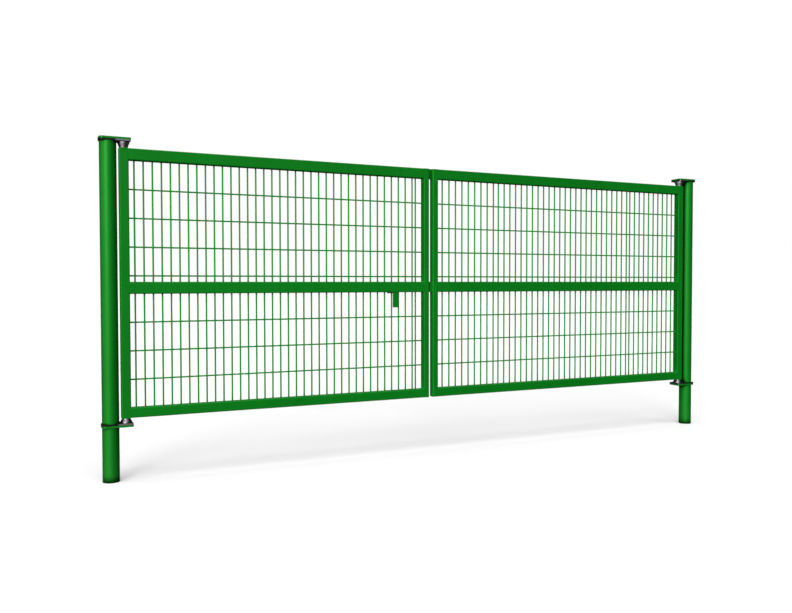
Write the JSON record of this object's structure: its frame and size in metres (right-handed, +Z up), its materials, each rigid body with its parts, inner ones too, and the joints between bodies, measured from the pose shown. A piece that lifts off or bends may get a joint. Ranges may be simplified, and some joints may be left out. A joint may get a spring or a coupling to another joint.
{
  "type": "double swing gate",
  "caption": "Double swing gate of welded wire mesh in tube frames: unequal leaves on pin hinges between two round posts, with a slide bolt at mid height.",
  "frame": {"origin": "centre of the foot of the left post", "axes": "+X along the closed gate towards the right post, +Y away from the front, +Z up"},
  "size_m": [5.4578, 0.1222, 2.38],
  "materials": {
    "green_coat": "green polyester powder coat, satin",
    "zinc_steel": "bare zinc-plated steel",
    "black_plastic": "matt black"
  },
  "bodies": {
    "gate_posts": {"left_post": "green_coat", "right_post": "green_coat", "left_foot_disc": "green_coat", "right_foot_disc": "green_coat", "left_top_hinge_plate": "green_coat", "right_top_hinge_plate": "green_coat", "left_bottom_hinge_plate": "green_coat", "right_bottom_hinge_plate": "green_coat", "left_top_bearing_plate": "zinc_steel", "right_top_bearing_plate": "zinc_steel", "left_bottom_bearing_plate": "zinc_steel", "right_bottom_bearing_plate": "zinc_steel", "left_top_pin": "zinc_steel", "right_top_pin": "zinc_steel", "left_bottom_pin": "zinc_steel", "right_bottom_pin": "zinc_steel", "left_cap_plug": "green_coat", "right_cap_plug": "green_coat"},
    "left_leaf": {"left_hinge_stile": "green_coat", "left_free_stile": "green_coat", "left_top_rail": "green_coat", "left_mid_rail": "green_coat", "left_bottom_rail": "green_coat", "left_upper_mesh": "green_coat", "left_lower_mesh": "green_coat", "left_top_collar": "zinc_steel", "left_bottom_collar": "zinc_steel", "handle_stop": "black_plastic"},
    "right_leaf": {"right_hinge_stile": "green_coat", "right_free_stile": "green_coat", "right_top_rail": "green_coat", "right_mid_rail": "green_coat", "right_bottom_rail": "green_coat", "right_upper_mesh": "green_coat", "right_lower_mesh": "green_coat", "right_top_collar": "zinc_steel", "right_bottom_collar": "zinc_steel", "bolt_keeper": "green_coat", "top_gap_block": "green_coat"},
    "slide_bolt": {"lock_bolt": "zinc_steel", "bolt_handle": "green_coat"}
  },
  "joints": [
    {"name": "left_leaf_swing", "type": "hinge", "parent": "gate_posts", "child": "left_leaf", "pos_m": [0.1028, 0, 0.405], "axis": [0, 0, 1], "range_deg": [-90, 90]},
    {"name": "right_leaf_swing", "type": "hinge", "parent": "gate_posts", "child": "right_leaf", "pos_m": [5.2328, 0, 0.405], "axis": [0, 0, -1], "range_deg": [-90, 90]},
    {"name": "bolt_slide", "type": "slide", "parent": "left_leaf", "child": "slide_bolt", "axis": [1, 0, 0], "range_m": [0, 0.032]}
  ]
}
